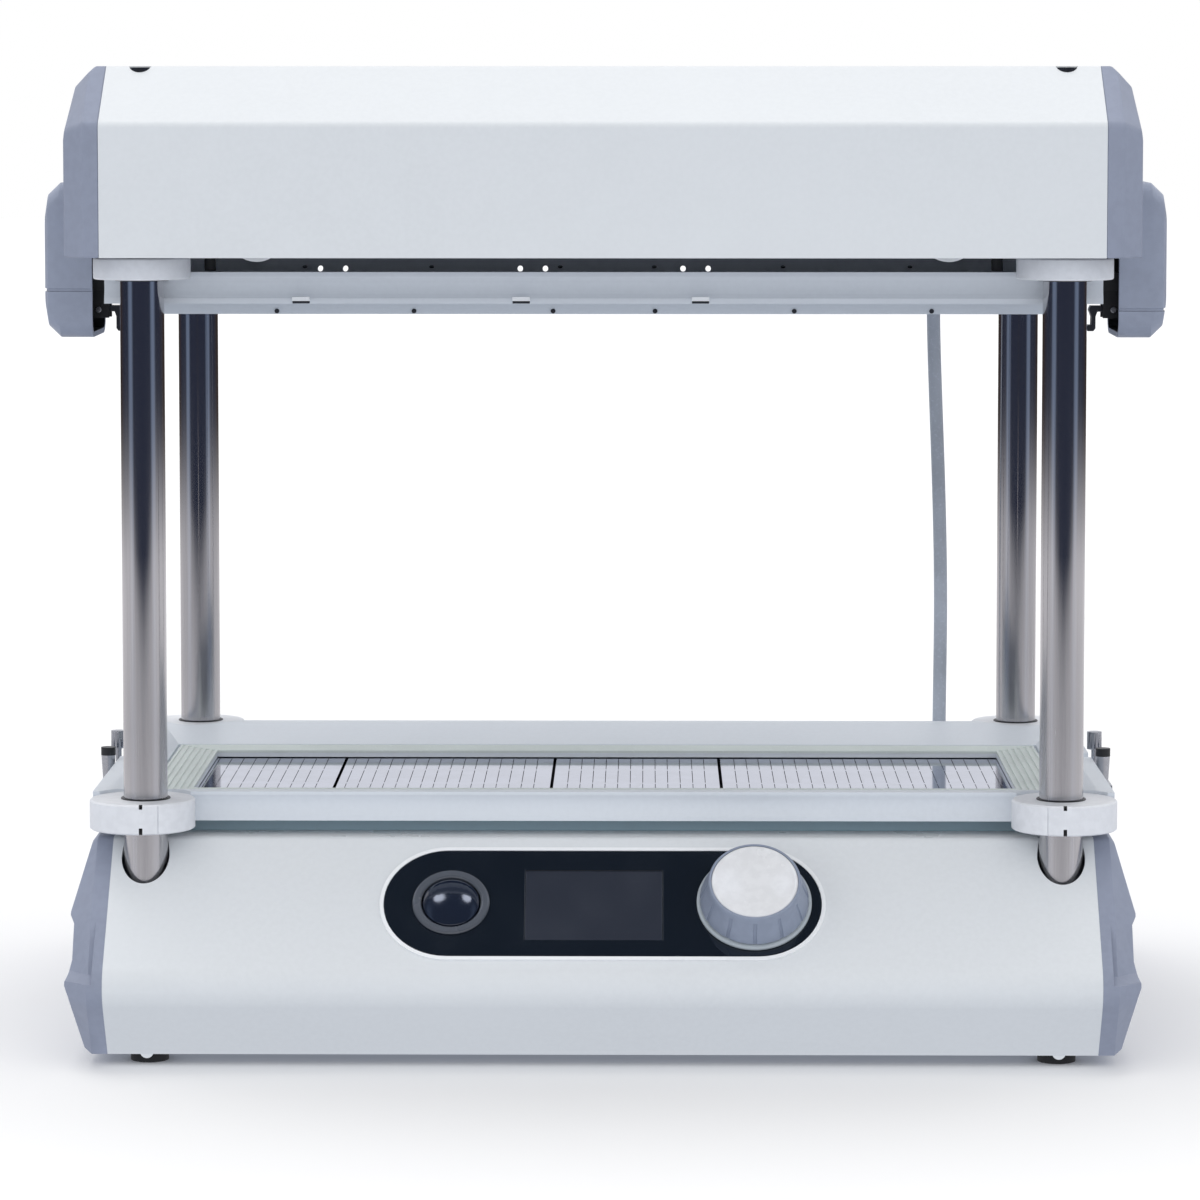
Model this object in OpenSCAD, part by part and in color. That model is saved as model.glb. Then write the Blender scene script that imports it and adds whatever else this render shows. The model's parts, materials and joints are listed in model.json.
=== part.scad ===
// Table-top dental vacuum former: four steel guide columns between a base with
// a slotted vacuum table and a heater head. A lower sheet frame rests on the
// table, and an upper clamp frame with side handles is parked under the head.
// X is to the right, Y is to the back, Z is up; the origin is on the bench, at
// the middle of the footprint. All sizes are in millimetres.

/* [Base] */
// Half width of the white base cover, up to the end caps
cover_hw = 223.8; // [220:0.2:228]
// Height of the flat deck above the bench
deck_z = 99; // [98:0.5:100]
// Thickness of the bent steel covers
sheet_t = 2; // [1.5:0.1:2.2]
// Radius of the big bend low on the front of the base
base_bend_r = 14; // [8:1:18]
// Radius of the rubber feet
foot_r = 8.7; // [6:0.1:10]

/* [Columns] */
// Radius of the polished guide columns
col_r = 10; // [9.5:0.1:10]
// Half distance between the columns, left to right
col_x = 208.5; // [208:0.5:209]
// Half distance between the columns, front to back
col_y = 140; // [139.5:0.5:140.5]
// Running clearance between column and bushing, on the radius
bush_gap = 0.05; // [0.02:0.01:0.1]

/* [Vacuum table] */
// Height of the top of the slotted plate
plate_z = 108.2; // [107.8:0.1:108.2]
// Distance between the fine slots of the plate
slot_pitch = 6; // [5:0.5:10]
// Width of the fine slots
slot_w = 0.3; // [0.3:0.1:0.8]

/* [Control panel] */
// Length of the black pill-shaped panel
panel_w = 198; // [190:1:210]
// Height of the panel, measured along the slope
panel_h = 58; // [56:1:62]
// Radius of the control knob at its foot
knob_r = 24.6; // [22:0.2:25]
// Number of flutes round the knob
knob_flutes = 12; // [8:1:16]
// Radius of the start button's dome
button_r = 12.9; // [11:0.1:13]

/* [Frames] */
// Half width of the lower sheet frame
low_hw = 234; // [233:0.5:234.5]
// Half depth of both sheet frames
frame_hd = 128; // [127.5:0.5:128]
// Half width of the upper clamp frame
up_hw = 227; // [226:0.5:227.5]
// Half length of the opening that the sheet is formed through
open_x = 193.5; // [190:0.5:194]
// Half depth of that opening
open_y = 66; // [64:0.5:66]

/* [Head] */
// Height of the bottom edge of the head cover
head_z = 365; // [365:0.5:366]
// Height of the top of the head
top_z = 450.2; // [446:0.1:455]

/* [Hidden] */
$fn = 64;

// side outline of the base cover, as (Y, Z) corners and bend radii
base_pts = [[-168, 5], [-194, 39], [-135, deck_z], [135, deck_z], [194, 39], [168, 5]];
base_r = [0, base_bend_r, 5, 5, base_bend_r, 0];
// side outline of the head cover
head_pts = [[-178, head_z], [-178, 424.6], [-141, top_z], [141, top_z], [178, 424.6], [178, head_z]];
head_r = [0, 4, 4, 4, 4, 0];
// middle of the control panel on the front slope, and the slope's angle
slope_a = atan2(deck_z - 39, 59);
panel_c = [0, -135 - 37 * cos(slope_a), deck_z - 37 * sin(slope_a)];
btn_u = -68.5;
knob_u = 68.5;
disp_u = -4;
disp_v = -1;
// distance of the feet from the middle, front to back
foot_y = 154;
// corners of the four columns
corners = [[-1, -1], [1, -1], [-1, 1], [1, 1]];
// pivot of the latches, and the pins they catch
latch_x = 243;
latch_z = 334.5;
catch_x = 228.5;
catch_z = 107.4;
// clips at the front of the upper frame, and screws of its lip
clip_x = [-137.4, -37.3, 44.2];
screw_x = [-151.5, -88, -23.6, 23.6, 88, 151.5];
// route of the heater's lead, from the gland under the head to the base
cable_r = 3.4;
cable_route = [[166, 150, 359], [166, 150, 345], [166, 150.5, 330], [166.3, 151, 315],
    [166.8, 151.5, 300], [167.5, 152, 283], [168.2, 152.2, 266], [168.9, 152.4, 249],
    [169.5, 152.5, 232], [170, 152.5, 215], [170.4, 152.3, 198], [170.6, 152, 181],
    [170.6, 151.5, 164], [170.4, 151, 147], [170.2, 150.5, 130], [170, 150, 112],
    [170, 150, 94]];

// ---- helpers -------------------------------------------------------------

function unit(v) = v / norm(v);

// polygon corners rounded to the radii rs
function rounded(p, rs, n = 6) = [for (i = [0 : len(p) - 1])
    let (q = p[i], a = p[(i - 1 + len(p)) % len(p)], b = p[(i + 1) % len(p)], r = rs[i])
    each (r <= 0 ? [q] :
        let (u = unit(a - q), v = unit(b - q), h = acos(u * v) / 2,
             c = q + unit(u + v) * r / sin(h), s = q + u * r / tan(h), e = q + v * r / tan(h),
             a0 = atan2(s[1] - c[1], s[0] - c[0]), a1 = atan2(e[1] - c[1], e[0] - c[0]),
             d = (a1 - a0 + 540) % 360 - 180)
        [for (k = [0 : n]) c + r * [cos(a0 + d * k / n), sin(a0 + d * k / n)]])];

// corners of a convex polygon moved inwards by t
function inset(p, t) = [for (i = [0 : len(p) - 1])
    let (q = p[i], a = p[(i - 1 + len(p)) % len(p)], b = p[(i + 1) % len(p)],
         u = unit(a - q), v = unit(b - q), h = acos(u * v) / 2)
    q + unit(u + v) * t / sin(h)];

// box centred in X and Y between two heights
module bx(w, d, z0, z1, x = 0, y = 0) translate([x - w / 2, y - d / 2, z0]) cube([w, d, z1 - z0]);
// (Y, Z) outline drawn out along X
module ext_x(x0, x1) translate([x0, 0, 0]) rotate([90, 0, 90]) linear_extrude(x1 - x0) children();
// (X, Z) outline drawn out along Y
module ext_y(y0, y1) translate([0, y1, 0]) rotate([90, 0, 0]) linear_extrude(y1 - y0) children();
// block with four sloped sides: half sizes a at height z0, b at height z1
module frustum(a, z0, b, z1) polyhedron(
    [[-a[0], -a[1], z0], [a[0], -a[1], z0], [a[0], a[1], z0], [-a[0], a[1], z0],
     [-b[0], -b[1], z1], [b[0], -b[1], z1], [b[0], b[1], z1], [-b[0], b[1], z1]],
    [[0, 1, 2, 3], [4, 7, 6, 5], [0, 4, 5, 1], [1, 5, 6, 2], [2, 6, 7, 3], [3, 7, 4, 0]]);
// rectangular ring: outer half sizes a, inner half sizes b
module ring(a, b, z0, z1) difference() {
    bx(2 * a[0], 2 * a[1], z0, z1);
    bx(2 * b[0], 2 * b[1], z0 - 1, z1 + 1);
}
module at_columns(z = 0) for (c = corners) translate([c[0] * col_x, c[1] * col_y, z]) children();
module cyl(r, z0, z1) translate([0, 0, z0]) cylinder(r = r, h = z1 - z0);
module tube(r1, r0, z0, z1) difference() { cyl(r1, z0, z1); cyl(r0, z0 - 1, z1 + 1); }
// frame of the control panel: x along it, y up the slope, z out of it
module on_panel() translate(panel_c) rotate([slope_a, 0, 0]) children();
// the same place on the rear slope
module on_rear() rotate([0, 0, 180]) on_panel() children();
// pill of length w and height h
module pill(w, h) {
    square([w - h, h], center = true);
    for (s = [-1, 1]) translate([s * (w - h) / 2, 0]) circle(d = h);
}
module pill_solid(w, h, z0, z1) translate([0, 0, z0]) linear_extrude(z1 - z0) pill(w, h);

// ---- base ----------------------------------------------------------------

module base_tray() color("lightsteelblue") difference() {
    union() {
        bx(2 * cover_hw - 2, 330, 5, 7.5);
        for (s = [-1, 1]) bx(1.5, 320, 5, 20, s * (cover_hw - 1.75));
        for (s = [-1, 1]) bx(400, 1.5, 7.4, 14, 0, s * 160);
    }
    for (c = corners) translate([c[0] * 206, c[1] * foot_y, 0]) cyl(3, 4, 9);
    // rows of cooling slots
    for (x = [-90 : 15 : 90]) for (s = [-1, 1]) bx(4, 40, 4, 9, x, s * 105);
}

module base_shell() {
    difference() {
        ext_x(-cover_hw, cover_hw) polygon(rounded(base_pts, base_r));
        ext_x(-cover_hw - 1, cover_hw + 1) polygon(concat(
            [for (q = rounded(inset(base_pts, sheet_t), [0, base_bend_r - sheet_t, 3, 3, base_bend_r - sheet_t, 0])) q[1] < 8 ? [q[0] < 0 ? -165.5 : 165.5, 4] : q]));
    }
}

module base_cover() color("white") difference() {
    union() {
        base_shell();
        // bright raised rim round the control panel
        on_panel() pill_solid(panel_w + 3.8, panel_h + 3.8, -1, 0.9);
        // small round tabs in front of the feet
        for (s = [-1, 1]) translate([s * 206, -166.6, 6.2]) rotate([90, 0, 0]) cylinder(r = 3.1, h = 1.4);
    }
    on_panel() pill_solid(panel_w + 0.2, panel_h + 0.2, -6, 3);
    // holes round the columns, wider towards the slopes
    for (c = corners) {
        translate([c[0] * col_x, c[1] * col_y, 0]) cyl(col_r + 0.4, 40, 110);
        translate([c[0] * col_x, c[1] * (col_y + 2.3), 0]) cyl(10.9, 40, 110);
    }
    bx(398.4, 142.4, 90, 110);
    on_rear() translate([120, -4, -6]) cube([62, 30, 12]);
    translate([170, 150, 0]) cyl(6.5, 60, 100);
}

// outline of a base end cap seen from the front, right-hand side
function cap_outline() = [[cover_hw, 5], [232.5, 5], [234.4, 8], [240.2, 33.3], [241.9, 38],
    [241.9, 39.8], [240.9, 42], [239.4, 48], [239.4, 63.2], [241.4, 66.4], [241.4, 67.6],
    [237.8, 81], [235.6, 89], [233.4, 97], [231.2, deck_z + 0.5], [cover_hw, deck_z + 0.5]];

// step in the outline of the end caps, from a ledge upwards
ledge_pts = [[-188.6, 40.4], [-181, 43.4], [-167.6, 66.2], [-200, 66.2], [-200, 40.4]];

module base_end_cap(s) color("slategray") mirror([s < 0 ? 1 : 0, 0, 0]) difference() {
    intersection() {
        ext_y(-195, 195) polygon(cap_outline());
        hull() {
            ext_x(cover_hw, 231) polygon(rounded(base_pts, base_r));
            ext_x(241.9, 242) polygon(rounded(inset(base_pts, 9), [0, 10, 3, 3, 10, 0]));
        }
    }
    // hollow of the moulding, open towards the cover
    ext_x(cover_hw - 1, 226.8) polygon(inset(base_pts, 5));
    // hand hold in the side
    bx(20, 116, 43, 61, 242);
    // the step follows the slanting outside
    for (k = [0, 1]) mirror([0, k, 0]) {
        ext_x(228.6, 231.05) polygon(ledge_pts);
        multmatrix([[1, 0, 0, 0], [1.15, 1, 0, -1.15 * 231], [0, 0, 1, 0], [0, 0, 0, 1]])
            ext_x(231, 243) polygon(ledge_pts);
    }
}
module base_end_cap_left() base_end_cap(-1);
module base_end_cap_right() base_end_cap(1);

module rubber_feet() color("black") for (c = corners) translate([c[0] * 206, c[1] * foot_y, 0]) {
    cyl(foot_r, 0, 5);
    cyl(3, 5, 7.5);
}

// ---- control panel -------------------------------------------------------

module control_panel() color("#141b25") on_panel() difference() {
    pill_solid(panel_w, panel_h, -2, 0.7);
    translate([disp_u, disp_v, -3]) linear_extrude(5) square([62.2, 38.2], center = true);
    translate([btn_u, 0, 0]) cyl(16, -3, 2);
    translate([knob_u, 0, 0]) cyl(8, -3, 2);
}

module display_module() color("#2d323e") on_panel() translate([disp_u, disp_v, 0]) {
    linear_extrude(0.4) square([62, 38], center = true);
    translate([0, 0, -4]) linear_extrude(4) square([62, 38], center = true);
    translate([0, 0, -7]) linear_extrude(3) square([70, 46], center = true);
}

module button_bezel() color("#30363f") on_panel() translate([btn_u, 0, 0])
    rotate_extrude() polygon([[13.4, -6], [15.9, -6], [15.9, 0.7], [17.5, 0.7], [17.5, 1.5],
        [16.9, 2.2], [14.2, 2.2], [13.4, 1.4]]);

// plunger with a shallow dome
module start_button() color("#1a2230") on_panel() translate([btn_u, 0, 0]) rotate_extrude()
    polygon(concat([[0, -5], [button_r, -5], [button_r, 0.9]],
        [for (k = [1 : 8]) [button_r * cos(k * 11.25), 0.9 + 2.9 * sin(k * 11.25)]]));

module knob_ring() color("gainsboro") on_panel() translate([knob_u, 0, 0])
    rotate_extrude() polygon([[8.2, 0.7], [25.6, 0.7], [26, 1.1], [26, 2.2], [25.2, 2.9], [8.2, 2.9]]);

module knob_skirt() color("#8c94a8") on_panel() translate([knob_u, 0, 0]) difference() {
    rotate_extrude() polygon([[3, 3.3], [knob_r - 0.6, 3.3], [knob_r, 4], [knob_r - 0.6, 6.6],
        [22.7, 10.4], [21.6, 14], [20.9, 17.4], [20.4, 18], [19.6, 18], [19.6, 11.2], [3, 11.2]]);
    // fine flutes run up the cone
    for (k = [0 : knob_flutes - 1]) rotate([0, 0, k * 360 / knob_flutes])
        translate([knob_r + 0.4, 0, 3]) rotate([0, -15.5, 0]) cylinder(r = 0.9, h = 12.5, $fn = 16);
}

// its top is a shallow dish for a finger
module knob_cap() color("#e4e5e8") on_panel() translate([knob_u, 0, 0]) rotate_extrude()
    polygon([[0, 13.2], [3, 13.2], [3, 11.2], [19.6, 11.2], [19.6, 17.3], [19.3, 17.9],
        [18.7, 18.3], [17.8, 18.4], [14.5, 18.1], [11, 17.7], [6, 17.3], [0, 17.2]]);

module encoder_shaft() color("silver") on_panel() translate([knob_u, 0, 0]) {
    cyl(3, -9, 13.2);
}

module encoder_body() color("dimgray") on_panel() translate([knob_u, 0, 0]) difference() {
    union() {
        translate([-7, -7, -12]) cube([14, 14, 8]);
        cyl(4.5, -5, 2.7);
        tube(7.4, 4.5, -2, 0.2);
    }
    cyl(3 + bush_gap, -9.3, 4);
}

module control_board() color("darkgreen") on_panel() {
    difference() {
        translate([-92, -25, -13.8]) cube([184, 50, 1.6]);
        for (x = [-88, 88]) for (y = [-21, 21]) translate([x, y, 0]) cyl(1.6, -15, -11);
    }
    // push switch under the button, connector and chips
    translate([btn_u - 6, -6, -12.2]) cube([12, 12, 4.9]);
    translate([20, -18, -12.2]) cube([18, 8, 5]);
    translate([-44, 12, -12.2]) cube([12, 10, 2]);
}

module power_supply() color("silver") translate([-190, -60, 7.5]) difference() {
    cube([70, 120, 38]);
    translate([2, 2, 2]) cube([66, 116, 34]);
    for (y = [12 : 8 : 108]) translate([10, y, 30]) cube([50, 3, 10]);
}

// ---- vacuum table --------------------------------------------------------

module vacuum_table() color("#5a7480") difference() {
    bx(430, 228, deck_z, 107);
    bx(398.4, 142.4, 90, 110);
    bx(406.2, 150.2, 106.2, 110);
}

module table_gasket() color("#30363c") ring([212, 84], [204.8, 76.8], 107, 108.3);

module vacuum_plate() color("#c8ccd4") difference() {
    bx(406, 150, 106.2, plate_z);
    // fine suction slots, in three rows
    for (g = [[-192, -138], [-124, -34], [-18, 48], [63, 190]]) for (x = [g[0] : slot_pitch : g[1]])
        for (y = [-44, 0, 44]) bx(slot_w, y == 0 ? 42 : 38, 105, 109, x, y);
    // wider collecting slots
    for (x = [-129, -25.5, 55.5]) bx(1.5, 128, 105, 109, x);
}

module vacuum_chamber() color("gray") difference() {
    bx(398, 142, 86, 106.2);
    bx(393, 137, 88.5, 107);
    cyl(14, 80, 90);
}

module motor_housing() color("#4a4f55") difference() {
    union() {
        cyl(42, 7.5, 46);
        cyl(58, 44, 78);
        cyl(18, 77, 86);
        translate([40, -14, 48]) cube([40, 28, 26]);
    }
    cyl(36, 12, 40);
    cyl(54, 47, 75);
    cyl(14, 74, 90);
    translate([45, -10, 51]) cube([40, 20, 20]);
    cyl(4 + bush_gap, 10, 50);
}

module motor_impeller() color("silver") difference() {
    union() {
        cyl(50, 50, 52);
        cyl(8, 50, 66);
        for (k = [0 : 6]) rotate([0, 0, k * 360 / 7]) translate([10, -1, 51.9]) rotate([0, 0, -20]) cube([36, 2, 14]);
    }
    cyl(4, 49, 67);
}

module motor_shaft() color("silver") cyl(4, 10.5, 68);

// mains inlet with its switch, on the rear slope
module power_entry() color("#16181c") on_rear() difference() {
    union() {
        translate([116, -8, 0]) cube([70, 38, 2.2]);
        translate([120.2, -3.8, -22]) cube([61.6, 29.6, 22.1]);
    }
    translate([123, -0.5, -18]) cube([27, 23, 22]);
    translate([154.5, 0, -16]) cube([24, 22, 22]);
    // bearings of the rocker
    translate([166.5, 11, -3]) rotate([0, 90, 0]) cylinder(r = 1.2 + bush_gap, h = 27.2, center = true);
    difference() {
        translate([154, -0.5, 1.2]) cube([25, 23, 4]);
        translate([155, 0.5, 0]) cube([23, 21, 4]);
    }
}

// rocker, tipped to its off side
module power_rocker() color("#202329") on_rear() translate([166.5, 11, -3]) rotate([-8, 0, 0]) {
    rotate([90, 0, 90]) translate([0, 0, -11.4]) linear_extrude(22.8)
        polygon([[-9.6, 5.4], [-9, 6.4], [-4, 4.9], [0, 4.5], [4, 4.9], [9, 6.4], [9.6, 5.4],
            [8, -3], [4, -6], [-4, -6], [-8, -3]]);
    rotate([0, 90, 0]) cylinder(r = 1.2, h = 26.4, center = true);
}

// ---- columns and head ----------------------------------------------------

module column(c) translate([c[0] * col_x, c[1] * col_y, 0]) difference() {
    union() {
        cyl(col_r, 7.5, 375.4);
        translate([0, 0, 375.4]) cylinder(r1 = col_r, r2 = col_r - 0.6, h = 0.6);
    }
    cyl(4, 340, 380);
}
module columns_front() color("silver") { column(corners[0]); column(corners[1]); }
module columns_rear() color("silver") { column(corners[2]); column(corners[3]); }

module column_flanges() color("gray") at_columns() difference() {
    union() { cyl(12.6, 7.5, 12); cyl(12, 12, 26); }
    cyl(col_r, 7, 27);
}

module column_bolts() color("#101114") at_columns() difference() {
    union() { cyl(4.9, 443, 449.6); cyl(4, 345, 443.1); }
    translate([0, 0, 446]) cylinder(d = 5.8, h = 5, $fn = 6);
}

module head_cover() color("white") difference() {
    union() {
        difference() {
            ext_x(-cover_hw, cover_hw) polygon(rounded(head_pts, head_r));
            ext_x(-cover_hw - 1, cover_hw + 1) polygon([for (q = rounded(inset(head_pts, sheet_t), [0, 2, 2, 2, 2, 0])) q[1] < head_z + 5 ? [q[0], head_z - 1] : q]);
        }
        for (s = [-1, 1]) bx(2 * cover_hw, 14, head_z, head_z + 2, 0, s * 170);
        // shallow pressed bumps under the front edge
        for (s = [-1, 1]) intersection() {
            translate([s * 154.2, -170, head_z + 11.2]) sphere(r = 13.1);
            bx(20, 20, head_z - 5, head_z + 0.5, s * 154.2, -170);
        }
    }
    at_columns() cyl(5, 440, 455);
}

function head_cap_outline() = [[cover_hw, head_z], [240.5, head_z], [240.5, 417],
    [237.6, 440.6], [228.8, top_z], [cover_hw, top_z]];

module head_end_cap(s) color("slategray") mirror([s < 0 ? 1 : 0, 0, 0]) difference() {
    intersection() {
        ext_y(-180, 180) polygon(head_cap_outline());
        hull() {
            ext_x(cover_hw, 231) polygon(rounded(head_pts, head_r));
            ext_x(240.5, 240.6) polygon(rounded([[-168, head_z], [-168, 421], [-135, 444], [135, 444], [168, 421], [168, head_z]], [0, 4, 4, 4, 4, 0]));
        }
    }
    ext_x(cover_hw - 1, 236) polygon([[-162, head_z - 1], [-162, 418], [-132, 438], [132, 438], [162, 418], [162, head_z - 1]]);
}
module head_end_cap_left() head_end_cap(-1);
module head_end_cap_right() head_end_cap(1);

module head_tray() color("#5b6068") difference() {
    bx(2 * cover_hw - 1, 350, head_z + 2, head_z + 4);
    bx(412, 172, head_z, head_z + 6);
    at_columns() cyl(col_r + 0.3, head_z, head_z + 6);
    translate([166, 150, 0]) cyl(3.6, head_z, head_z + 6);
}

module head_rails() color("lightgray") for (s = [-1, 1]) difference() {
    union() {
        bx(25, 300, 376, 379, s * col_x);
        for (t = [-1, 1]) bx(2, 300, 369, 376, s * col_x + t * 11.5);
    }
    for (t = [-1, 1]) translate([s * col_x, t * col_y, 0]) cyl(4, 370, 380);
}

module reflector() color("silver") difference() {
    union() {
        bx(390, 168, 371, 414);
        bx(391, 190, 369, 371);
    }
    bx(387, 165, 368, 412.5);
}

module heater_tubes() color("linen") for (y = [-60 : 30 : 60]) translate([-188, y, 391])
    rotate([0, 90, 0]) cylinder(r = 5, h = 376);

module heater_holders() color("ivory") for (s = [-1, 1]) difference() {
    bx(6, 140, 380, 412.5, s * 183.5);
    for (y = [-60 : 30 : 60]) translate([s * 183.5 - 5, y, 391]) rotate([0, 90, 0]) cylinder(r = 5, h = 10);
}

module rubber_stops() color("#15171a") for (c = corners) translate([c[0] * 179, c[1] * 123.5, 0]) {
    cyl(2.6, 357.4, 363);
    cyl(3.4, 363, 367);
}

module cable_glands() color("#a8adb5") {
    translate([166, 150, 0]) { cyl(6.2, 361, 367); cyl(4.9, 359, 361); cyl(3.6, 367, 372); }
    translate([170, 150, 0]) { cyl(6.5, 72, 90); cyl(5.2, 90, 94); }
}

// lead between the base and the head, swept along its route
module heater_cable() color("#9fa4ad") {
    n = len(cable_route);
    m = 10;
    polyhedron(
        [for (i = [0 : n - 1]) for (k = [0 : m - 1])
            cable_route[i] + cable_r * [cos(-k * 360 / m), sin(-k * 360 / m), 0]],
        concat([[for (k = [0 : m - 1]) m - 1 - k]],
            [for (i = [0 : n - 2]) for (k = [0 : m - 1]) let (k2 = (k + 1) % m)
                each [[i * m + k, i * m + k2, (i + 1) * m + k2], [i * m + k, (i + 1) * m + k2, (i + 1) * m + k]]],
            [[for (k = [0 : m - 1]) (n - 1) * m + k]]));
}

// ---- lower sheet frame ---------------------------------------------------

// shallow coves along the front and the back of a frame
module coves(z) for (s = [-1, 1]) translate([0, s * (frame_hd + 8), z]) rotate([0, 90, 0])
    cylinder(r = 9.5, h = 480, center = true);

module lower_frame() color("white") difference() {
    union() {
        difference() {
            bx(2 * low_hw, 2 * frame_hd, 105.6, 119);
            // tray-like top: sloped sides down to the sealing flange
            frustum([214.9, 87.8], 112.1, [226.2, 120.2], 119.05);
            bx(2 * 214.9, 2 * 87.8, 110.6, 113);
            // hollow underside
            difference() {
                bx(2 * low_hw - 5, 2 * frame_hd - 6, 105, 116.6);
                frustum([213.6, 82], 108.6, [226.9, 120.2], 116.8);
            }
            bx(2 * open_x, 2 * open_y, 100, 120);
            // the long sides are slightly hollow
            coves(112.6);
        }
        // cheeks that hold the catch pins
        for (s = [-1, 1]) bx(9, 26, 105.6, 117, s * 229.4);
    }
    for (c = corners) translate([c[0] * (col_x + 1.5), c[1] * col_y, 0]) cyl(24.1, 100, 125);
    for (s = [-1, 1]) {
        // notch for the latch hook
        bx(8, 16, 100, 125, s * 230.7);
        translate([s * catch_x, 12, catch_z]) rotate([90, 0, 0]) cylinder(r = 1.5, h = 24);
    }
}

// the outside is set outwards from the bore
module lower_collars() color("#e2e4ea") for (c = corners) translate([c[0] * col_x, c[1] * col_y, 0]) difference() {
    translate([c[0] * 1.5, 0, 0]) union() {
        cyl(24, 104.6, 116.9);
        translate([0, 0, 116.9]) cylinder(r1 = 24, r2 = 23.2, h = 0.8);
        translate([0, 0, 104]) cylinder(r1 = 23.2, r2 = 24, h = 0.6);
    }
    cyl(11.3, 100, 120);
    for (s = [-1, 1]) {
        // split marks at the front and the back, and a fine seam beside them
        bx(1.6, 4, 103, 107.2, 0, s * 23.9);
        bx(1.6, 4, 115.8, 119, 0, s * 23.9);
        bx(0.5, 1.2, 100, 120, c[0] * -7.7, s * 22.3);
    }
}

module lower_bushings() color("#1c1f24") at_columns() tube(11.3, col_r + bush_gap, 104.2, 118.2);

module lower_seal() color("#c5cac8") difference() {
    ring([213.5, 86], [open_x, open_y], 110.6, 112);
    // ribs
    for (k = [0 : 5]) ring([212.4 - 3.2 * k, 84.9 - 3.2 * k], [210.8 - 3.2 * k, 83.3 - 3.2 * k], 111.3, 113);
}

module side_brackets() color("#c9ccd2") for (s = [-1, 1]) difference() {
    bx(8.3, 62, 105.6, 108.2, s * (low_hw + 4.15), 2);
    bx(8, 16, 100, 125, s * 230.7);
    bx(12, 20, 100, 125, s * 238);
    translate([s * 238.5, -20, 0]) cyl(2, 100, 125);
    translate([s * 238.5, 26, 0]) cyl(1.5, 100, 125);
}

module latch_studs() color("#7c8088") for (s = [-1, 1]) translate([s * 238.5, -20, 0]) {
    cyl(2, 105.6, 108.2);
    translate([0, 0, 108.2]) cylinder(r1 = 2.6, r2 = 3.4, h = 13);
    cyl(3.5, 121.2, 125);
}

module catch_pins() color("silver") for (s = [-1, 1])
    translate([s * catch_x, 11.5, catch_z]) rotate([90, 0, 0]) cylinder(r = 1.5, h = 23);

// knurled thumb screw in its bracket
module thumb_screw(s) color("#6b6f77") translate([s * 238.5, 26, 0]) {
    cyl(1.45, 106, 118.5);
    difference() {
        cyl(3.6, 118.5, 127);
        for (k = [0 : 11]) rotate([0, 0, k * 30]) translate([3.75, 0, 119.3]) cylinder(r = 0.4, h = 6.9, $fn = 16);
    }
}
module thumb_screw_left() thumb_screw(-1);
module thumb_screw_right() thumb_screw(1);

// ---- upper clamp frame ---------------------------------------------------

module upper_frame() color("#dfe3ea") difference() {
    union() {
        difference() {
            bx(2 * up_hw, 2 * frame_hd, 342.6, 357);
            frustum([213.6, 86.1], 344.1, [219, 120], 357.1);
            difference() {
                bx(2 * up_hw - 5, 2 * frame_hd - 6, 342, 354.6);
                frustum([212.8, 82], 342, [219.6, 120.4], 354.8);
            }
            bx(2 * open_x, 2 * open_y, 340, 360);
            coves(350.1);
        }
        ring([213.6, 86.1], [open_x, open_y], 342, 344.1);
        // three small tabs at the front edge
        for (x = clip_x) bx(8, 3.2, 343.9, 345.8, x, -frame_hd - 0.2);
    }
    at_columns() cyl(22.1, 354.2, 370);
    at_columns() cyl(13, 340, 370);
    for (x = clip_x) {
        // notch under each tab, a pair of holes in the slope behind, and a window in the back wall
        bx(8, 3, 341, 343.9, x, -frame_hd - 0.3);
        for (t = [-6.3, 6.3]) translate([x + t, 112, 350.1]) rotate([90, 0, 0]) cylinder(r = 1.4, h = 16);
        bx(20, 6, 345.6, 352, x, frame_hd - 1);
    }
    // screw holes, square to the rear slope
    for (x = screw_x) translate([x, 103.3, 350.7]) rotate([21, 0, 0]) cylinder(r = 0.6, h = 8, center = true);
}

module upper_collars() color("#d6d9e0") at_columns() difference() {
    union() {
        cyl(22, 354.9, 363.6);
        translate([0, 0, 363.6]) cylinder(r1 = 22, r2 = 21.4, h = 0.6);
        translate([0, 0, 354.3]) cylinder(r1 = 21.4, r2 = 22, h = 0.6);
    }
    cyl(12.5, 350, 370);
}

module upper_bushings() color("#1c1f24") at_columns() tube(12.5, col_r + bush_gap, 353.6, 364.4);

module clamp_lip() color("#cfd2d8") difference() {
    ring([213.5, 86], [open_x, open_y], 336, 342);
    for (s = [-1, 1]) for (x = screw_x)
        translate([x, s * 84, 337.4]) rotate([90, 0, 0]) cylinder(r = 0.6, h = 8, center = true);
    // grooves of the lip's underside
    for (k = [0 : 2]) ring([210 - 5 * k, 82.5 - 5 * k], [208.4 - 5 * k, 80.9 - 5 * k], 335, 336.6);
}

// screws of the lip, a row of them in the rear slope of the frame, and dark
// pads in the notches under the tabs
module lip_screws() color("#2c2f34") {
    for (x = clip_x) bx(7.8, 1, 342.7, 343.8, x, -frame_hd + 0.7);
    for (x = screw_x) frame_screws(x);
}
module frame_screws(x) {
    for (s = [-1, 1]) translate([x, s * 86, 337.4]) rotate([s * -90, 0, 0]) {
        cylinder(r = 1.1, h = 0.7);
        translate([0, 0, -4]) cylinder(r = 0.6, h = 4);
    }
    translate([x, 103.3, 350.7]) rotate([21, 0, 0]) {
        cylinder(r = 1.2, h = 0.7);
        translate([0, 0, -3]) cylinder(r = 0.6, h = 3);
    }
}

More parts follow.
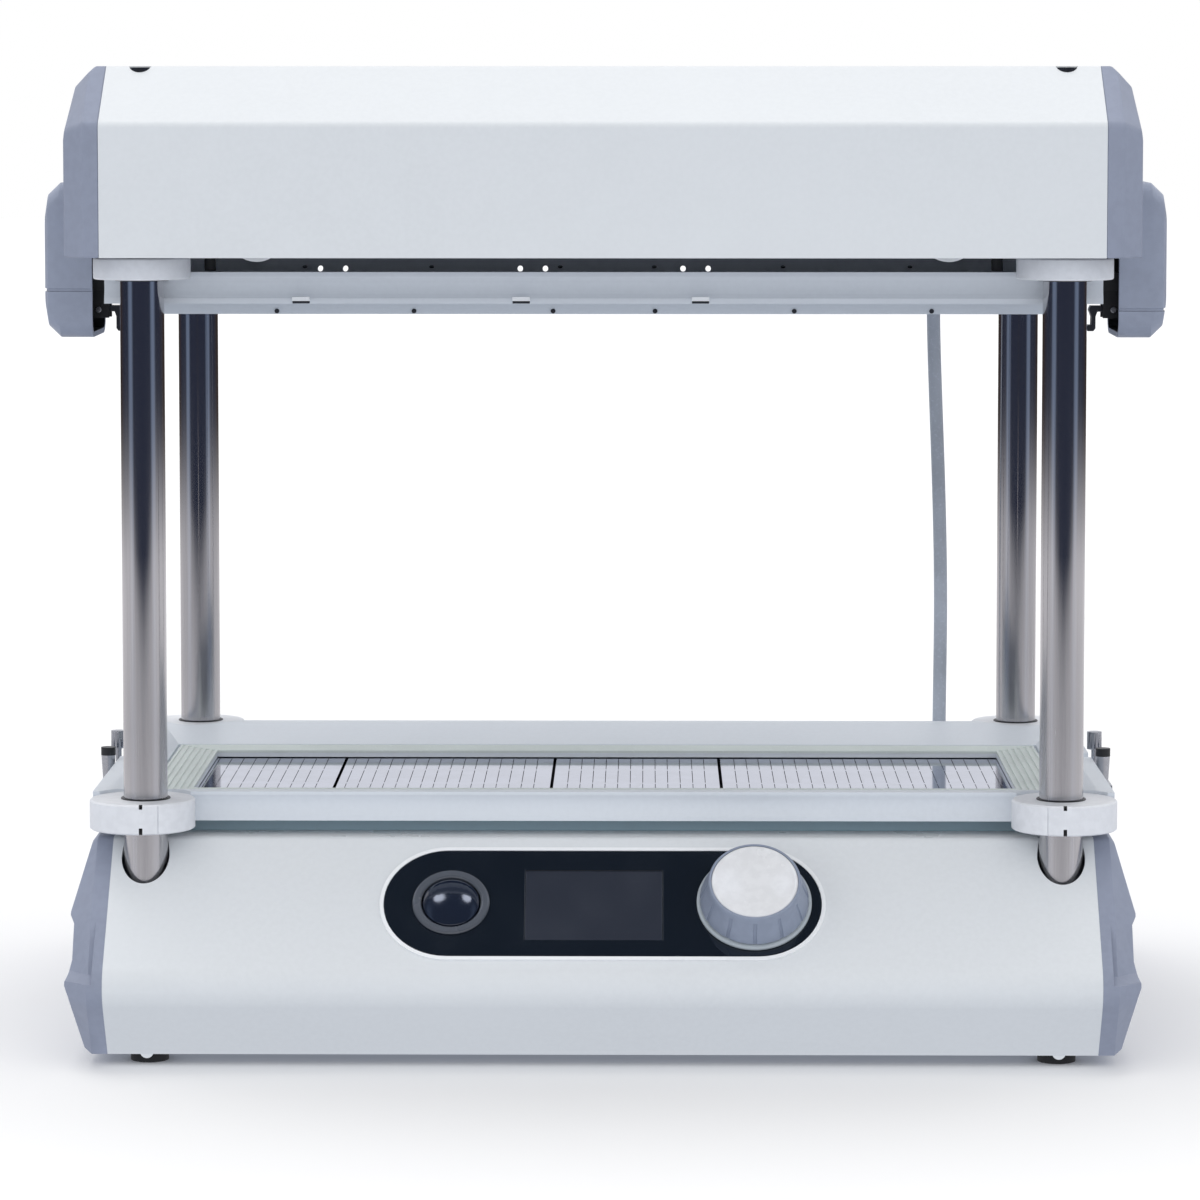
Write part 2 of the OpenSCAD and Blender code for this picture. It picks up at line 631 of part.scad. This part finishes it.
// one handle: a palm-sized cup, open towards the frame
module handle_form(g) hull() {
    for (y = [-21, 21]) for (z = [330.5, 387]) translate([243.5 - g, y, z]) rotate([0, 90, 0]) cylinder(r = 8.5 - g, h = 15.5 + g, $fn = 32);
    for (y = [-20, 20]) for (z = [335.5, 382]) translate([243.5 - g, y, z]) rotate([0, 90, 0]) cylinder(r = 8 - g, h = 21.3, $fn = 32);
    for (y = [-17, 17]) for (z = [342, 375]) translate([243.5 - g, y, z]) rotate([0, 90, 0]) cylinder(r = 7 - g, h = 22.9 - g / 2, $fn = 32);
}
module handle(s) color("#7d8698") mirror([s < 0 ? 1 : 0, 0, 0]) difference() {
    handle_form(0);
    translate([-0.4, 0, 0]) handle_form(2.6);
    // shallow groove across the lower part
    difference() {
        bx(50, 70, s < 0 ? 344 : 334.8, s < 0 ? 345.4 : 336.2, 255);
        handle_form(0.45);
    }
}
module handle_left() handle(-1);
module handle_right() handle(1);

module handle_cores() color("#14161a") for (s = [-1, 1]) mirror([s < 0 ? 1 : 0, 0, 0]) difference() {
    union() {
        // reaches the inside of the handle's outer wall
        bx(35, 27, 344, 352, 244.6);
        bx(14, 27, 337, 344.1, 254.4);
        for (t = [-1, 1]) bx(10, 3, 330.5, 344.1, latch_x, t * 6);
    }
    translate([latch_x, 10, latch_z]) rotate([90, 0, 0]) cylinder(r = 1.5, h = 20);
}

module latch_pins() color("silver") for (s = [-1, 1])
    translate([s * latch_x, 8, latch_z]) rotate([90, 0, 0]) cylinder(r = 1.5, h = 16);

// lever with a hook that hangs below it
module latch(s) color("#2a2e34") mirror([s < 0 ? 1 : 0, 0, 0]) difference() {
    union() {
        translate([0, 4, 0]) rotate([90, 0, 0]) linear_extrude(8) polygon([[231.6, 334.2], [232.4, 336.3],
            [240, 336.3], [241.4, 337], [246.3, 337], [246.3, 332], [241, 332], [239, 333.6],
            [235.6, 333.4], [234.8, 331], [234.8, 325.4], [233.8, 324.1], [231, 324.1],
            [230.5, 325.2], [230.5, 326.4], [231.2, 327.1], [232.8, 327.1], [232.8, 331]]);
    }
    translate([latch_x, 10, latch_z]) rotate([90, 0, 0]) cylinder(r = 1.5 + bush_gap, h = 20);
}
module latch_left() latch(-1);
module latch_right() latch(1);

base_tray();
base_cover();
base_end_cap_left();
base_end_cap_right();
rubber_feet();
control_panel();
display_module();
button_bezel();
start_button();
knob_ring();
knob_skirt();
knob_cap();
encoder_shaft();
encoder_body();
control_board();
power_supply();
vacuum_table();
table_gasket();
vacuum_plate();
vacuum_chamber();
motor_housing();
motor_impeller();
motor_shaft();
power_entry();
power_rocker();
columns_front();
columns_rear();
column_flanges();
column_bolts();
head_cover();
head_end_cap_left();
head_end_cap_right();
head_tray();
head_rails();
reflector();
heater_tubes();
heater_holders();
rubber_stops();
cable_glands();
heater_cable();
lower_frame();
lower_collars();
lower_bushings();
lower_seal();
latch_studs();
side_brackets();
catch_pins();
thumb_screw_left();
thumb_screw_right();
upper_frame();
upper_collars();
upper_bushings();
clamp_lip();
lip_screws();
handle_left();
handle_right();
handle_cores();
latch_pins();
latch_left();
latch_right();
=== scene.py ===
import bpy, bmesh, json, math
from mathutils import Matrix, Vector, noise as mnoise


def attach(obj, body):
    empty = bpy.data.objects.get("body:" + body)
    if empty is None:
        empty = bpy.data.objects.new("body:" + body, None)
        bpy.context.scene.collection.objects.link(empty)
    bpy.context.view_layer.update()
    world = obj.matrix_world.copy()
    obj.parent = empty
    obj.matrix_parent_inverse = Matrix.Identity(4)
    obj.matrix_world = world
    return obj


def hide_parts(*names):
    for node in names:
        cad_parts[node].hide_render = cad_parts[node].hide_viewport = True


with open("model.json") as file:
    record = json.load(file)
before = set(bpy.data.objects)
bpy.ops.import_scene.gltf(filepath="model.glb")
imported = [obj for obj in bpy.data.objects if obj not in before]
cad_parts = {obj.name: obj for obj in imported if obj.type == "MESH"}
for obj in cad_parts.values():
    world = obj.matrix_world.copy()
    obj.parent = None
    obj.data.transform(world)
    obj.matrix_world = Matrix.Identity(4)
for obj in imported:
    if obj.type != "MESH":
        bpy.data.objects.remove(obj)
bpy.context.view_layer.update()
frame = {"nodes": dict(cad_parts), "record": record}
N = frame["nodes"]
scene = bpy.context.scene
scene.view_settings.view_transform = "Standard"
scene.view_settings.look = "None"

# ---------------------------------------------------------------- camera
# fitted to the corners of the object in the photograph, square picture
px_f = 4952.87
cam_data = bpy.data.cameras.new("camera")
cam_data.sensor_width = 36
cam_data.lens = px_f / 1200 * 36
cam_data.shift_y = -0.1
cam_data.clip_end = 200
camera = bpy.data.objects.new("camera", cam_data)
scene.collection.objects.link(camera)
pitch, yaw = 0.0794, 0.0094
fwd = Vector((-math.sin(yaw), math.cos(yaw), 0))
right = Vector((math.cos(yaw), math.sin(yaw), 0))
look = fwd * math.cos(pitch) - Vector((0, 0, 1)) * math.sin(pitch)
up = Vector((0, 0, 1)) * math.cos(pitch) + fwd * math.sin(pitch)
m = Matrix.Identity(4)
for i in range(3):
    m[i][0], m[i][1], m[i][2] = right[i], up[i], -look[i]
    m[i][3] = (0.019656, -2.377535, 0.441299)[i]
camera.matrix_world = m
scene.camera = camera

# ---------------------------------------------------------------- the lead between base and head
# the same route as the solid's, in metres
CABLE = [(166, 150, 359), (166, 150, 345), (166, 150.5, 330), (166.3, 151, 315), (166.8, 151.5, 300),
    (167.5, 152, 283), (168.2, 152.2, 266), (168.9, 152.4, 249), (169.5, 152.5, 232), (170, 152.5, 215),
    (170.4, 152.3, 198), (170.6, 152, 181), (170.6, 151.5, 164), (170.4, 151, 147), (170.2, 150.5, 130),
    (170, 150, 112), (170, 150, 94)]
cu = bpy.data.curves.new("heater_lead", "CURVE")
cu.dimensions = "3D"
cu.bevel_depth = 0.0034
cu.bevel_resolution = 8
cu.resolution_u = 6
cu.use_fill_caps = True
sp = cu.splines.new("NURBS")
sp.points.add(len(CABLE) - 1)
for p, q in zip(sp.points, CABLE):
    p.co = (q[0] / 1000, q[1] / 1000, q[2] / 1000, 1)
sp.order_u = 4
sp.use_endpoint_u = True
swept = bpy.data.objects.new("heater_lead_route", cu)
scene.collection.objects.link(swept)
bpy.context.view_layer.update()
lead_mesh = bpy.data.meshes.new_from_object(swept.evaluated_get(bpy.context.evaluated_depsgraph_get()))
bpy.data.objects.remove(swept)
for q in lead_mesh.polygons:
    q.use_smooth = True
lead_mesh.materials.clear()
lead = bpy.data.objects.new("heater_lead", lead_mesh)
scene.collection.objects.link(lead)
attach(lead, "base")
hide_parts("heater_cable")

# ---------------------------------------------------------------- materials


class Mat:
    """A Principled material built up with nodes in object space."""

    def __init__(self, name, color, rough, metallic=0.0, **socket):
        self.m = bpy.data.materials.new(name)
        self.m.use_nodes = True
        self.t = self.m.node_tree
        self.b = self.t.nodes["Principled BSDF"]
        self.color = color
        self.b.inputs["Base Color"].default_value = (*color, 1)
        self.b.inputs["Roughness"].default_value = rough
        self.b.inputs["Metallic"].default_value = metallic
        for k, v in socket.items():
            self.b.inputs[k.replace("_", " ")].default_value = v
        self.m.diffuse_color = (*color, 1)
        self.co = self.t.nodes.new("ShaderNodeTexCoord").outputs["Object"]
        self.height = None
        self.col = None

    def n(self, kind, **kw):
        x = self.t.nodes.new("ShaderNode" + kind)
        for k, v in kw.items():
            if hasattr(x, k):
                setattr(x, k, v)
            else:
                x.inputs[k].default_value = v
        return x

    def link(self, a, b):
        self.t.links.new(a, b)

    def noise(self, scale, detail=3, rough=0.5, stretch=None):
        co = self.co
        if stretch:
            mp = self.n("Mapping")
            mp.inputs["Scale"].default_value = stretch
            self.link(co, mp.inputs["Vector"])
            co = mp.outputs[0]
        x = self.n("TexNoise", Scale=scale, Detail=detail, Roughness=rough)
        self.link(co, x.inputs["Vector"])
        return x.outputs["Fac"]

    def ramp(self, fac, lo, hi, a, b):
        """fac from lo..hi mapped to a..b"""
        x = self.n("MapRange")
        x.clamp = True
        for i, v in zip(("From Min", "From Max", "To Min", "To Max"), (lo, hi, a, b)):
            x.inputs[i].default_value = v
        self.link(fac, x.inputs["Value"])
        return x.outputs["Result"]

    def tint(self, fac, color, amount=1.0):
        """mix colour in by fac * amount"""
        mx = self.n("Mix", data_type="RGBA")
        if amount != 1.0:
            mul = self.n("Math", operation="MULTIPLY")
            mul.inputs[1].default_value = amount
            self.link(fac, mul.inputs[0])
            fac = mul.outputs[0]
        self.link(fac, mx.inputs["Factor"])
        if self.col is None:
            mx.inputs["A"].default_value = (*self.color, 1)
        else:
            self.link(self.col, mx.inputs["A"])
        mx.inputs["B"].default_value = (*color, 1)
        self.col = mx.outputs["Result"]
        self.link(self.col, self.b.inputs["Base Color"])
        return self

    def roughen(self, fac, lo, hi):
        self.link(self.ramp(fac, 0.3, 0.7, lo, hi), self.b.inputs["Roughness"])
        return self

    def bump(self, fac, strength, dist):
        x = self.n("Bump")
        x.inputs["Strength"].default_value = strength
        x.inputs["Distance"].default_value = dist
        self.link(fac, x.inputs["Height"])
        if self.height is not None:
            self.link(self.height, x.inputs["Normal"])
        self.height = x.outputs["Normal"]
        self.link(self.height, self.b.inputs["Normal"])
        return self

    def wear(self, color, amount, lo=0.53, hi=0.62):
        g = self.n("NewGeometry")
        e = self.ramp(g.outputs["Pointiness"], lo, hi, 0, 1)
        patch = self.ramp(self.noise(60, 4), 0.4, 0.65, 0.35, 1)
        mul = self.n("Math", operation="MULTIPLY")
        self.link(e, mul.inputs[0]); self.link(patch, mul.inputs[1])
        return self.tint(mul.outputs[0], color, amount)


def scaled(c, k):
    return tuple(min(1, x * k) for x in c)


def painted(name, c, rough=0.42, peel=0.06):
    """powder coat: fine orange peel, faint unevenness, polished edges"""
    a = Mat(name, c, rough, **{"Specular_IOR_Level": 0.42})
    a.tint(a.ramp(a.noise(5, 3), 0.3, 0.7, 0, 1), scaled(c, 0.965))
    a.tint(a.ramp(a.noise(420, 2), 0.35, 0.65, 0, 1), scaled(c, 1.02), 0.5)
    a.wear(scaled(c, 1.08), 0.5)
    a.roughen(a.noise(35, 4), rough - 0.05, rough + 0.07)
    a.bump(a.noise(1100, 2, 0.5), peel, 0.0002)
    a.bump(a.noise(14, 2, 0.5), 0.02, 0.002)
    return a.m


def moulded(name, c, rough=0.5, grain=0.18, scale=1700, gloss=0.45):
    """injection moulding: spark-eroded grain, slightly lighter rubbed edges"""
    a = Mat(name, c, rough, **{"Specular_IOR_Level": gloss})
    a.tint(a.ramp(a.noise(9, 4), 0.3, 0.7, 0, 1), scaled(c, 0.93))
    a.tint(a.ramp(a.noise(240, 3), 0.4, 0.6, 0, 1), scaled(c, 1.04), 0.6)
    a.wear(scaled(c, 1.25), 0.6)
    a.roughen(a.noise(70, 4), rough - 0.07, rough + 0.08)
    a.bump(a.noise(scale, 3, 0.6), grain, 0.00025)
    return a.m


def glossy(name, c, rough=0.12, coat=0.6):
    a = Mat(name, c, rough, **{"Coat_Weight": coat, "Coat_Roughness": 0.05})
    a.tint(a.ramp(a.noise(12, 4), 0.3, 0.7, 0, 1), scaled(c, 1.15), 0.6)
    a.tint(a.ramp(a.noise(900, 2), 0.66, 0.72, 0, 1), scaled(c, 1.6), 0.25)
    a.roughen(a.noise(50, 5), rough - 0.03, rough + 0.06)
    a.bump(a.noise(30, 3), 0.03, 0.0006)
    return a.m


def metal(name, c, rough=0.28, stretch=(1, 1, 1), lines=0.12, scale=900, var=0.88, spread=0.07):
    a = Mat(name, c, rough, 1.0)
    a.tint(a.ramp(a.noise(22, 4, 0.6, stretch), 0.35, 0.65, 0, 1), scaled(c, var))
    a.tint(a.ramp(a.noise(scale, 3, 0.6, stretch), 0.4, 0.62, 0, 1), scaled(c, 1.06), 0.7)
    a.wear(scaled(c, 1.3), 0.5)
    a.roughen(a.noise(scale * 0.4, 3, 0.5, stretch), rough - spread, rough + spread)
    a.bump(a.noise(scale, 2, 0.5, stretch), lines, 0.00006)
    return a.m


def rubber(name, c, rough=0.7, dust=1.6):
    a = Mat(name, c, rough, **{"Specular_IOR_Level": 0.3})
    a.tint(a.ramp(a.noise(30, 5), 0.35, 0.7, 0, 1), scaled(c, dust), 0.5)
    a.tint(a.ramp(a.noise(700, 3), 0.55, 0.75, 0, 1), scaled(c, dust * 1.1), 0.35)
    a.roughen(a.noise(120, 4), rough - 0.1, rough + 0.12)
    a.bump(a.noise(1400, 3), 0.25, 0.0002)
    return a.m


def column_metal(name, c):
    """ground steel, polished above and rubbed matt near the foot"""
    a = Mat(name, c, 0.08, 1.0)
    along = (1, 1, 0.012)
    a.tint(a.ramp(a.noise(22, 4, 0.6, along), 0.35, 0.65, 0, 1), scaled(c, 0.94))
    a.tint(a.ramp(a.noise(1500, 3, 0.6, along), 0.4, 0.62, 0, 1), scaled(c, 1.06), 0.7)
    z = a.n("SeparateXYZ")
    a.link(a.co, z.inputs[0])
    z0 = N["columns_front"].matrix_world.translation.z
    matt = a.ramp(z.outputs["Z"], 0.15 - z0, 0.23 - z0, 0.26, 0.065)
    fine = a.ramp(a.noise(600, 3, 0.5, along), 0.3, 0.7, 0.0, 0.015)
    s = a.n("Math", operation="ADD")
    a.link(matt, s.inputs[0])
    a.link(fine, s.inputs[1])
    a.link(s.outputs[0], a.b.inputs["Roughness"])
    a.bump(a.noise(700, 2, 0.5, along), 0.006, 0.00006)
    return a.m


WHITE = (0.74, 0.765, 0.785)
mats = {
    "white_steel": painted("white_steel", WHITE),
    "white_casting": painted("white_casting", (0.70, 0.74, 0.79), 0.38, 0.07),
    "white_plastic": moulded("white_plastic", (0.77, 0.785, 0.82), 0.42, 0.05, 1300, 0.4),
    "grey_plastic": moulded("grey_plastic", (0.28, 0.31, 0.40)),
    "handle_plastic": moulded("handle_plastic", (0.315, 0.35, 0.445), 0.46, 0.2, 1500),
    "black_plastic": moulded("black_plastic", (0.016, 0.017, 0.02), 0.42, 0.12),
    "panel_gloss": glossy("panel_gloss", (0.0065, 0.011, 0.019), 0.09, 0.5),
    "screen": glossy("screen", (0.028, 0.033, 0.048), 0.16, 0.4),
    "button": glossy("button", (0.010, 0.016, 0.034), 0.10, 1.0),
    "rocker": glossy("rocker", (0.015, 0.015, 0.018), 0.22, 0.3),
    "knob_ring": moulded("knob_ring", (0.42, 0.465, 0.50), 0.35, 0.05),
    "knob_grey": moulded("knob_grey", (0.27, 0.31, 0.40), 0.42, 0.10),
    "knob_white": moulded("knob_white", (0.80, 0.805, 0.82), 0.22, 0.01, 1200, 0.5),
    "rubber": rubber("rubber", (0.014, 0.015, 0.017)),
    "silicone": rubber("silicone", (0.66, 0.71, 0.69), 0.5, 1.12),
    "column_steel": column_metal("column_steel", (0.56, 0.55, 0.56)),
    "polished_plate": metal("polished_plate", (0.40, 0.425, 0.515), 0.07, (0.02, 1, 1), 0.02, 1200, 0.96, 0.02),
    "table_paint": painted("table_paint", (0.34, 0.47, 0.54), 0.45),
    "steel": metal("steel", (0.42, 0.43, 0.46), 0.3),
    "dark_steel": metal("dark_steel", (0.06, 0.064, 0.075), 0.36),
    "tray_steel": painted("tray_steel", (0.30, 0.32, 0.36), 0.5),
    "reflector_metal": metal("reflector_metal", (0.80, 0.80, 0.81), 0.18, (0.03, 1, 1)),
    "quartz": glossy("quartz", (0.72, 0.69, 0.64), 0.18, 0.3),
    "ceramic": moulded("ceramic", (0.78, 0.75, 0.69), 0.7, 0.2),
    "blower": metal("blower", (0.40, 0.41, 0.43), 0.5),
    "board": glossy("board", (0.02, 0.10, 0.045), 0.35, 0.2),
    "encoder": metal("encoder", (0.4, 0.41, 0.43), 0.35),
    "cable": rubber("cable", (0.375, 0.405, 0.46), 0.5),
    "gland": moulded("gland", (0.40, 0.43, 0.48), 0.45, 0.08),
    "bezel": glossy("bezel", (0.08, 0.09, 0.11), 0.24, 0.5),
    # painted light: a brighter copy of the white paint, put on the panel rim, the deck top and the upper frame's
    # tabs to stand for light falling on them
    "painted_light_white": painted("painted_light_white", (0.90, 0.915, 0.93), 0.3, 0.03),
}
slot_of = {s["node"]: s["material_slot"] for s in frame["record"]["subparts"]}

# ---------------------------------------------------------------- rounding of the fixed shapes
# bevel width in mm by node; the edges of sheet, castings and mouldings differ
BEVEL = {
    "base_cover": (0.5, 2), "head_cover": (0.5, 2), "base_end_cap_left": (0.9, 3), "base_end_cap_right": (0.9, 3),
    "head_end_cap_left": (0.9, 3), "head_end_cap_right": (0.9, 3), "lower_frame": (0.7, 3), "upper_frame": (0.7, 3),
    "clamp_lip": (0.3, 2), "lower_collars": (0.35, 2), "upper_collars": (0.35, 2), "control_panel": (0.25, 2),
    "vacuum_table": (0.8, 2), "vacuum_plate": (0.12, 1), "table_gasket": (0.4, 2), "lower_seal": (0.18, 2),
    "handle_cores": (0.5, 2), "latch_left": (0.3, 2), "latch_right": (0.3, 2), "power_entry": (0.5, 2),
    "power_rocker": (0.4, 2), "head_tray": (0.3, 1), "head_rails": (0.3, 1), "reflector": (0.4, 1),
    "base_tray": (0.4, 1), "side_brackets": (0.3, 1), "heater_holders": (0.5, 1),
}


def finish_node(name):
    o = N[name]
    me = o.data
    for a in [x.name for x in me.attributes if x.name == "custom_normal"]:
        me.attributes.remove(me.attributes[a])
    for p in me.polygons:
        p.use_smooth = True
    me.materials.clear()
    me.materials.append(mats[slot_of[name]])
    w = o.modifiers.new("weld", "WELD")
    w.merge_threshold = 2e-6
    d = o.modifiers.new("flat", "DECIMATE")
    d.decimate_type = "DISSOLVE"
    d.angle_limit = math.radians(0.6)
    width, seg = BEVEL.get(name, (0.3, 2))
    b = o.modifiers.new("round", "BEVEL")
    b.width = width / 1000
    b.segments = seg
    b.limit_method = "ANGLE"
    b.angle_limit = math.radians(32)
    b.harden_normals = False
    n = o.modifiers.new("normals", "WEIGHTED_NORMAL")
    n.weight = 60
    n.keep_sharp = False


for name in N:
    if name != "heater_cable":
        finish_node(name)
# painted shade: the hollow side of the handles gets black plastic, standing for the shade inside them
for name in ("handle_left", "handle_right"):
    me = N[name].data
    me.materials.append(mats["black_plastic"])
    lo, hi = [Vector([f(v.co[i] for v in me.vertices) for i in range(3)]) for f in (min, max)]
    mid = (lo + hi) / 2
    for q in me.polygons:
        if q.normal.dot(q.center - mid) < 0:
            q.material_index = 1


def paint(name, mat, test):
    """give the polygons whose middle passes the test another material"""
    o = N[name]
    o.data.materials.append(mats[mat])
    k = len(o.data.materials) - 1
    for q in o.data.polygons:
        if test(o.matrix_world @ q.center):
            q.material_index = k


sa = math.atan2(60, 59)


def over_slope(p):
    """height above the front slope, and place along it, in metres"""
    y, z = p.y + 0.135 + 0.037 * math.cos(sa), p.z - 0.099 + 0.037 * math.sin(sa)
    return z * math.cos(sa) - y * math.sin(sa), y * math.cos(sa) + z * math.sin(sa)


# painted highlight: the raised rim round the panel gets the brighter white, standing for the bright line of light
# along it
paint("base_cover", "painted_light_white", lambda p: over_slope(p)[0] > 0.0003 and abs(p.x) < 0.103 and abs(over_slope(p)[1]) < 0.033)
# painted light: the deck top gets the brighter white, standing for light under the lower frame in place of its
# shade
paint("base_cover", "painted_light_white", lambda p: p.z > 0.0989)
paint("button_bezel", "bezel", lambda p: True)
# painted highlight: the tabs on the front of the upper frame get the brighter white, standing for the light they
# catch
paint("upper_frame", "painted_light_white", lambda p: p.y < -0.1283 and 0.3437 < p.z < 0.346)
# painted shade: the walls of the collars' split marks get black plastic, standing for the shade inside the slits
paint("lower_collars", "black_plastic", lambda p: abs(abs(p.x) - 0.2085) < 0.00082 and abs(p.y) > 0.1605
      and math.hypot(abs(p.x) - 0.21, abs(p.y) - 0.14) < 0.0237)
paint("latch_studs", "black_plastic", lambda p: p.z > 0.1212)
lead.data.materials.append(mats["cable"])

# ---------------------------------------------------------------- stage, light
fl = bpy.data.meshes.new("floor")
bm = bmesh.new()
ring = [(-7, -3.1), (7, -3.1), (7, 14), (-7, 14)]
bm.faces.new([bm.verts.new((x, y, 0)) for x, y in ring])
bm.to_mesh(fl); bm.free()
floor = bpy.data.objects.new("floor", fl)
scene.collection.objects.link(floor)
fm = Mat("floor", (0.91, 0.91, 0.913), 0.8, **{"Specular_IOR_Level": 0.0})
fm.tint(fm.ramp(fm.noise(3, 4), 0.3, 0.7, 0, 1), (0.90, 0.90, 0.903))
fl.materials.append(fm.m)
floor.visible_glossy = False
floor.visible_diffuse = False

# one wide soft light from above, a little from behind and from the left
sd = bpy.data.lights.new("soft_sun", "SUN")
sd.energy, sd.angle, sd.color = 0.95, math.radians(46), (1, 0.995, 0.988)
so = bpy.data.objects.new("soft_sun", sd)
scene.collection.objects.link(so)
so.rotation_euler = Vector((0.12, -0.32, -1.0)).to_track_quat("-Z", "Y").to_euler()
so.visible_glossy = False

w = bpy.data.worlds.new("studio")
scene.world = w
w.use_nodes = True
t = w.node_tree
t.nodes.clear()
out = t.nodes.new("ShaderNodeOutputWorld")


def wn(kind, **kw):
    x = t.nodes.new("ShaderNode" + kind)
    for k, v in kw.items():
        setattr(x, k, v)
    return x


def wmath(op, a, b=None, c=None):
    x = wn("Math", operation=op)
    for i, v in enumerate((a, b, c)):
        if v is None:
            continue
        if isinstance(v, (int, float)):
            x.inputs[i].default_value = v
        else:
            t.links.new(v, x.inputs[i])
    return x.outputs[0]


def wmap(v, lo, hi, a=0.0, b=1.0):
    x = wn("MapRange")
    x.clamp = True
    x.interpolation_type = "SMOOTHSTEP"
    for i, q in zip(("From Min", "From Max", "To Min", "To Max"), (lo, hi, a, b)):
        x.inputs[i].default_value = q
    t.links.new(v, x.inputs["Value"])
    return x.outputs["Result"]


def wmix(fac, a, b):
    x = wn("Mix", data_type="RGBA")
    t.links.new(fac, x.inputs["Factor"])
    for s, v in (("A", a), ("B", b)):
        if isinstance(v, tuple):
            x.inputs[s].default_value = (*v, 1)
        else:
            t.links.new(v, x.inputs[s])
    return x.outputs["Result"]


sep = wn("SeparateXYZ")
t.links.new(wn("TexCoord").outputs["Generated"], sep.inputs[0])
dx, dy, dz = sep.outputs
el = wmath("ARCSINE", dz)                       # elevation
az = wmath("ABSOLUTE", wmath("ARCTAN2", dx, wmath("MULTIPLY", dy, -1.0)))   # 0 in front, pi behind
deg = math.radians
# mirrored surroundings: dark room in front with two tall pale scrims, pale table low down,
# two small softboxes overhead, open white at the back
def band(v, a, b, c, d):
    return wmath("MULTIPLY", wmap(v, deg(a), deg(b)), wmap(v, deg(c), deg(d), 1, 0))


room = wmix(wmap(az, deg(95), deg(150)), (0.030, 0.037, 0.066), (0.050, 0.036, 0.032))
room = wmix(wmap(el, deg(12), deg(40)), room, (0.045, 0.05, 0.06))
strip = wmath("MULTIPLY", band(az, 42, 56, 65, 79), wmap(el, deg(50), deg(70), 1, 0))
studio = wmix(strip, room, (0.185, 0.24, 0.355))
# the table's far edge lies lower in the middle
edge = wmath("ADD", el, wmath("MULTIPLY", wmath("MINIMUM", az, deg(60)), -0.05))
low = wmap(edge, deg(-6.6), deg(-9.2))
studio = wmix(low, studio, (0.93, 0.92, 0.95))
back = wmath("MULTIPLY", wmap(az, deg(85), deg(110)), wmap(el, deg(2), deg(5)))
studio = wmix(back, studio, (0.86, 0.87, 0.91))
aim = wmath("ADD", wmath("MULTIPLY", wmath("ABSOLUTE", dx), 0.22),
            wmath("ADD", wmath("MULTIPLY", dy, -0.12), wmath("MULTIPLY", dz, 0.968)))
studio = wmix(wmap(aim, math.cos(deg(7)), math.cos(deg(3.5))), studio, (4.6, 5.0, 6.0))
lp = wn("LightPath")
gloss_bg = wn("Background"); t.links.new(studio, gloss_bg.inputs[0])
diff_bg = wn("Background")
horizon = wmix(wmap(az, deg(70), deg(125)), (1.36, 1.40, 1.46), (0.72, 0.76, 0.83))
sky = wmix(wmap(el, deg(4), deg(50)), horizon, (0.90, 0.89, 0.885))
t.links.new(wmix(wmap(el, deg(3), deg(-4)), sky, (0.69, 0.72, 0.78)), diff_bg.inputs[0])
diff_bg.inputs[1].default_value = 1.0
cam_bg = wn("Background"); cam_bg.inputs[0].default_value = (1, 1, 1, 1)
m1 = wn("MixShader"); m2 = wn("MixShader")
t.links.new(lp.outputs["Is Glossy Ray"], m1.inputs[0])
t.links.new(diff_bg.outputs[0], m1.inputs[1]); t.links.new(gloss_bg.outputs[0], m1.inputs[2])
t.links.new(lp.outputs["Is Camera Ray"], m2.inputs[0])
t.links.new(m1.outputs[0], m2.inputs[1]); t.links.new(cam_bg.outputs[0], m2.inputs[2])
t.links.new(m2.outputs[0], out.inputs[0])
